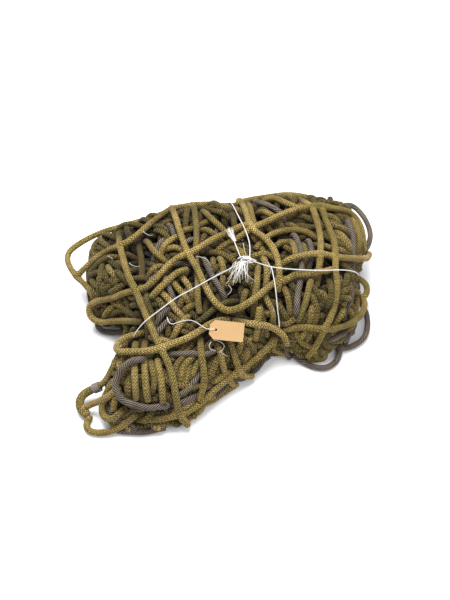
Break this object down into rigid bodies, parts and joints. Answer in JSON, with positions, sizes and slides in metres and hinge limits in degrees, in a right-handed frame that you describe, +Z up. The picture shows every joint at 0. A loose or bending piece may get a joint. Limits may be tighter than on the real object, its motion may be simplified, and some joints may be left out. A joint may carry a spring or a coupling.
{
  "type": "cargo climbing net",
  "caption": "Rope climbing net folded into a low bundle and tied with string, with laid-rope loops, a whipped corner eye and a tie-on tag.",
  "frame": {"origin": "on the floor under the middle of the bundle's overall box", "axes": "+X towards the bundle's right end, +Y towards its back, +Z up"},
  "size_m": [0.663, 0.5426, 0.1775],
  "materials": {
    "net_rope": "matte",
    "net_folds": "matte",
    "twisted_rope": "matte",
    "whipping_twine": "matte",
    "string": "matte",
    "tag_card": "matte",
    "tag_patch": "matte"
  },
  "bodies": {
    "bundle": {"corner_eye": "net_rope", "eye_whipping": "whipping_twine", "fold_left": "net_folds", "fold_left_end": "net_folds", "fold_limb_left": "net_folds", "fold_limb_right": "net_folds", "fold_middle": "net_folds", "fold_right": "net_folds", "fold_right_end": "net_folds", "net_rope_back_edge": "net_rope", "net_rope_bottom_right": "net_rope", "net_rope_centre_diagonal": "net_rope", "net_rope_first_level": "net_rope", "net_rope_first_limb": "net_rope", "net_rope_first_right_upright": "net_rope", "net_rope_fold_loop": "net_rope", "net_rope_inner_eye": "net_rope", "net_rope_left_loop": "net_rope", "net_rope_left_upright": "net_rope", "net_rope_limb_cross": "net_rope", "net_rope_limb_edge": "net_rope", "net_rope_limb_left_edge": "net_rope", "net_rope_limb_loop": "net_rope", "net_rope_limb_upright": "net_rope", "net_rope_long_diagonal": "net_rope", "net_rope_middle_upright": "net_rope", "net_rope_right_mid": "net_rope", "net_rope_second_diagonal": "net_rope", "net_rope_second_level": "net_rope", "net_rope_second_limb": "net_rope", "net_rope_second_right_upright": "net_rope", "net_rope_shoulder": "net_rope", "net_rope_side_loop": "net_rope", "net_rope_small_eye": "net_rope", "net_rope_tag_end": "net_rope", "net_rope_tag_side": "net_rope", "net_rope_third_limb": "net_rope", "net_rope_top_cross": "net_rope", "net_rope_top_edge": "net_rope", "net_rope_upright_by_string": "net_rope", "tag_string": "string", "tie_knot": "string", "tie_string_back": "string", "tie_string_front": "string", "tie_string_left": "string", "tie_string_right": "string", "tie_string_tail": "string", "twisted_rope_bottom_loop": "twisted_rope", "twisted_rope_left_bottom": "twisted_rope", "twisted_rope_limb_curve": "twisted_rope", "twisted_rope_low_right_loop": "twisted_rope", "twisted_rope_middle": "twisted_rope", "twisted_rope_right_inner": "twisted_rope", "twisted_rope_right_outer": "twisted_rope", "twisted_rope_right_side": "twisted_rope", "twisted_rope_top": "twisted_rope", "twisted_rope_top_right_loop": "twisted_rope"},
    "tag": {"tag_card": "tag_card", "tag_patch": "tag_patch", "tag_string_loop": "string"}
  },
  "joints": [
    {"name": "tag_flip", "type": "hinge", "parent": "bundle", "child": "tag", "pos_m": [-0.024, -0.123, 0.1411], "axis": [-0.1045, -0.8613, -0.4973], "range_deg": [0, 90]}
  ]
}
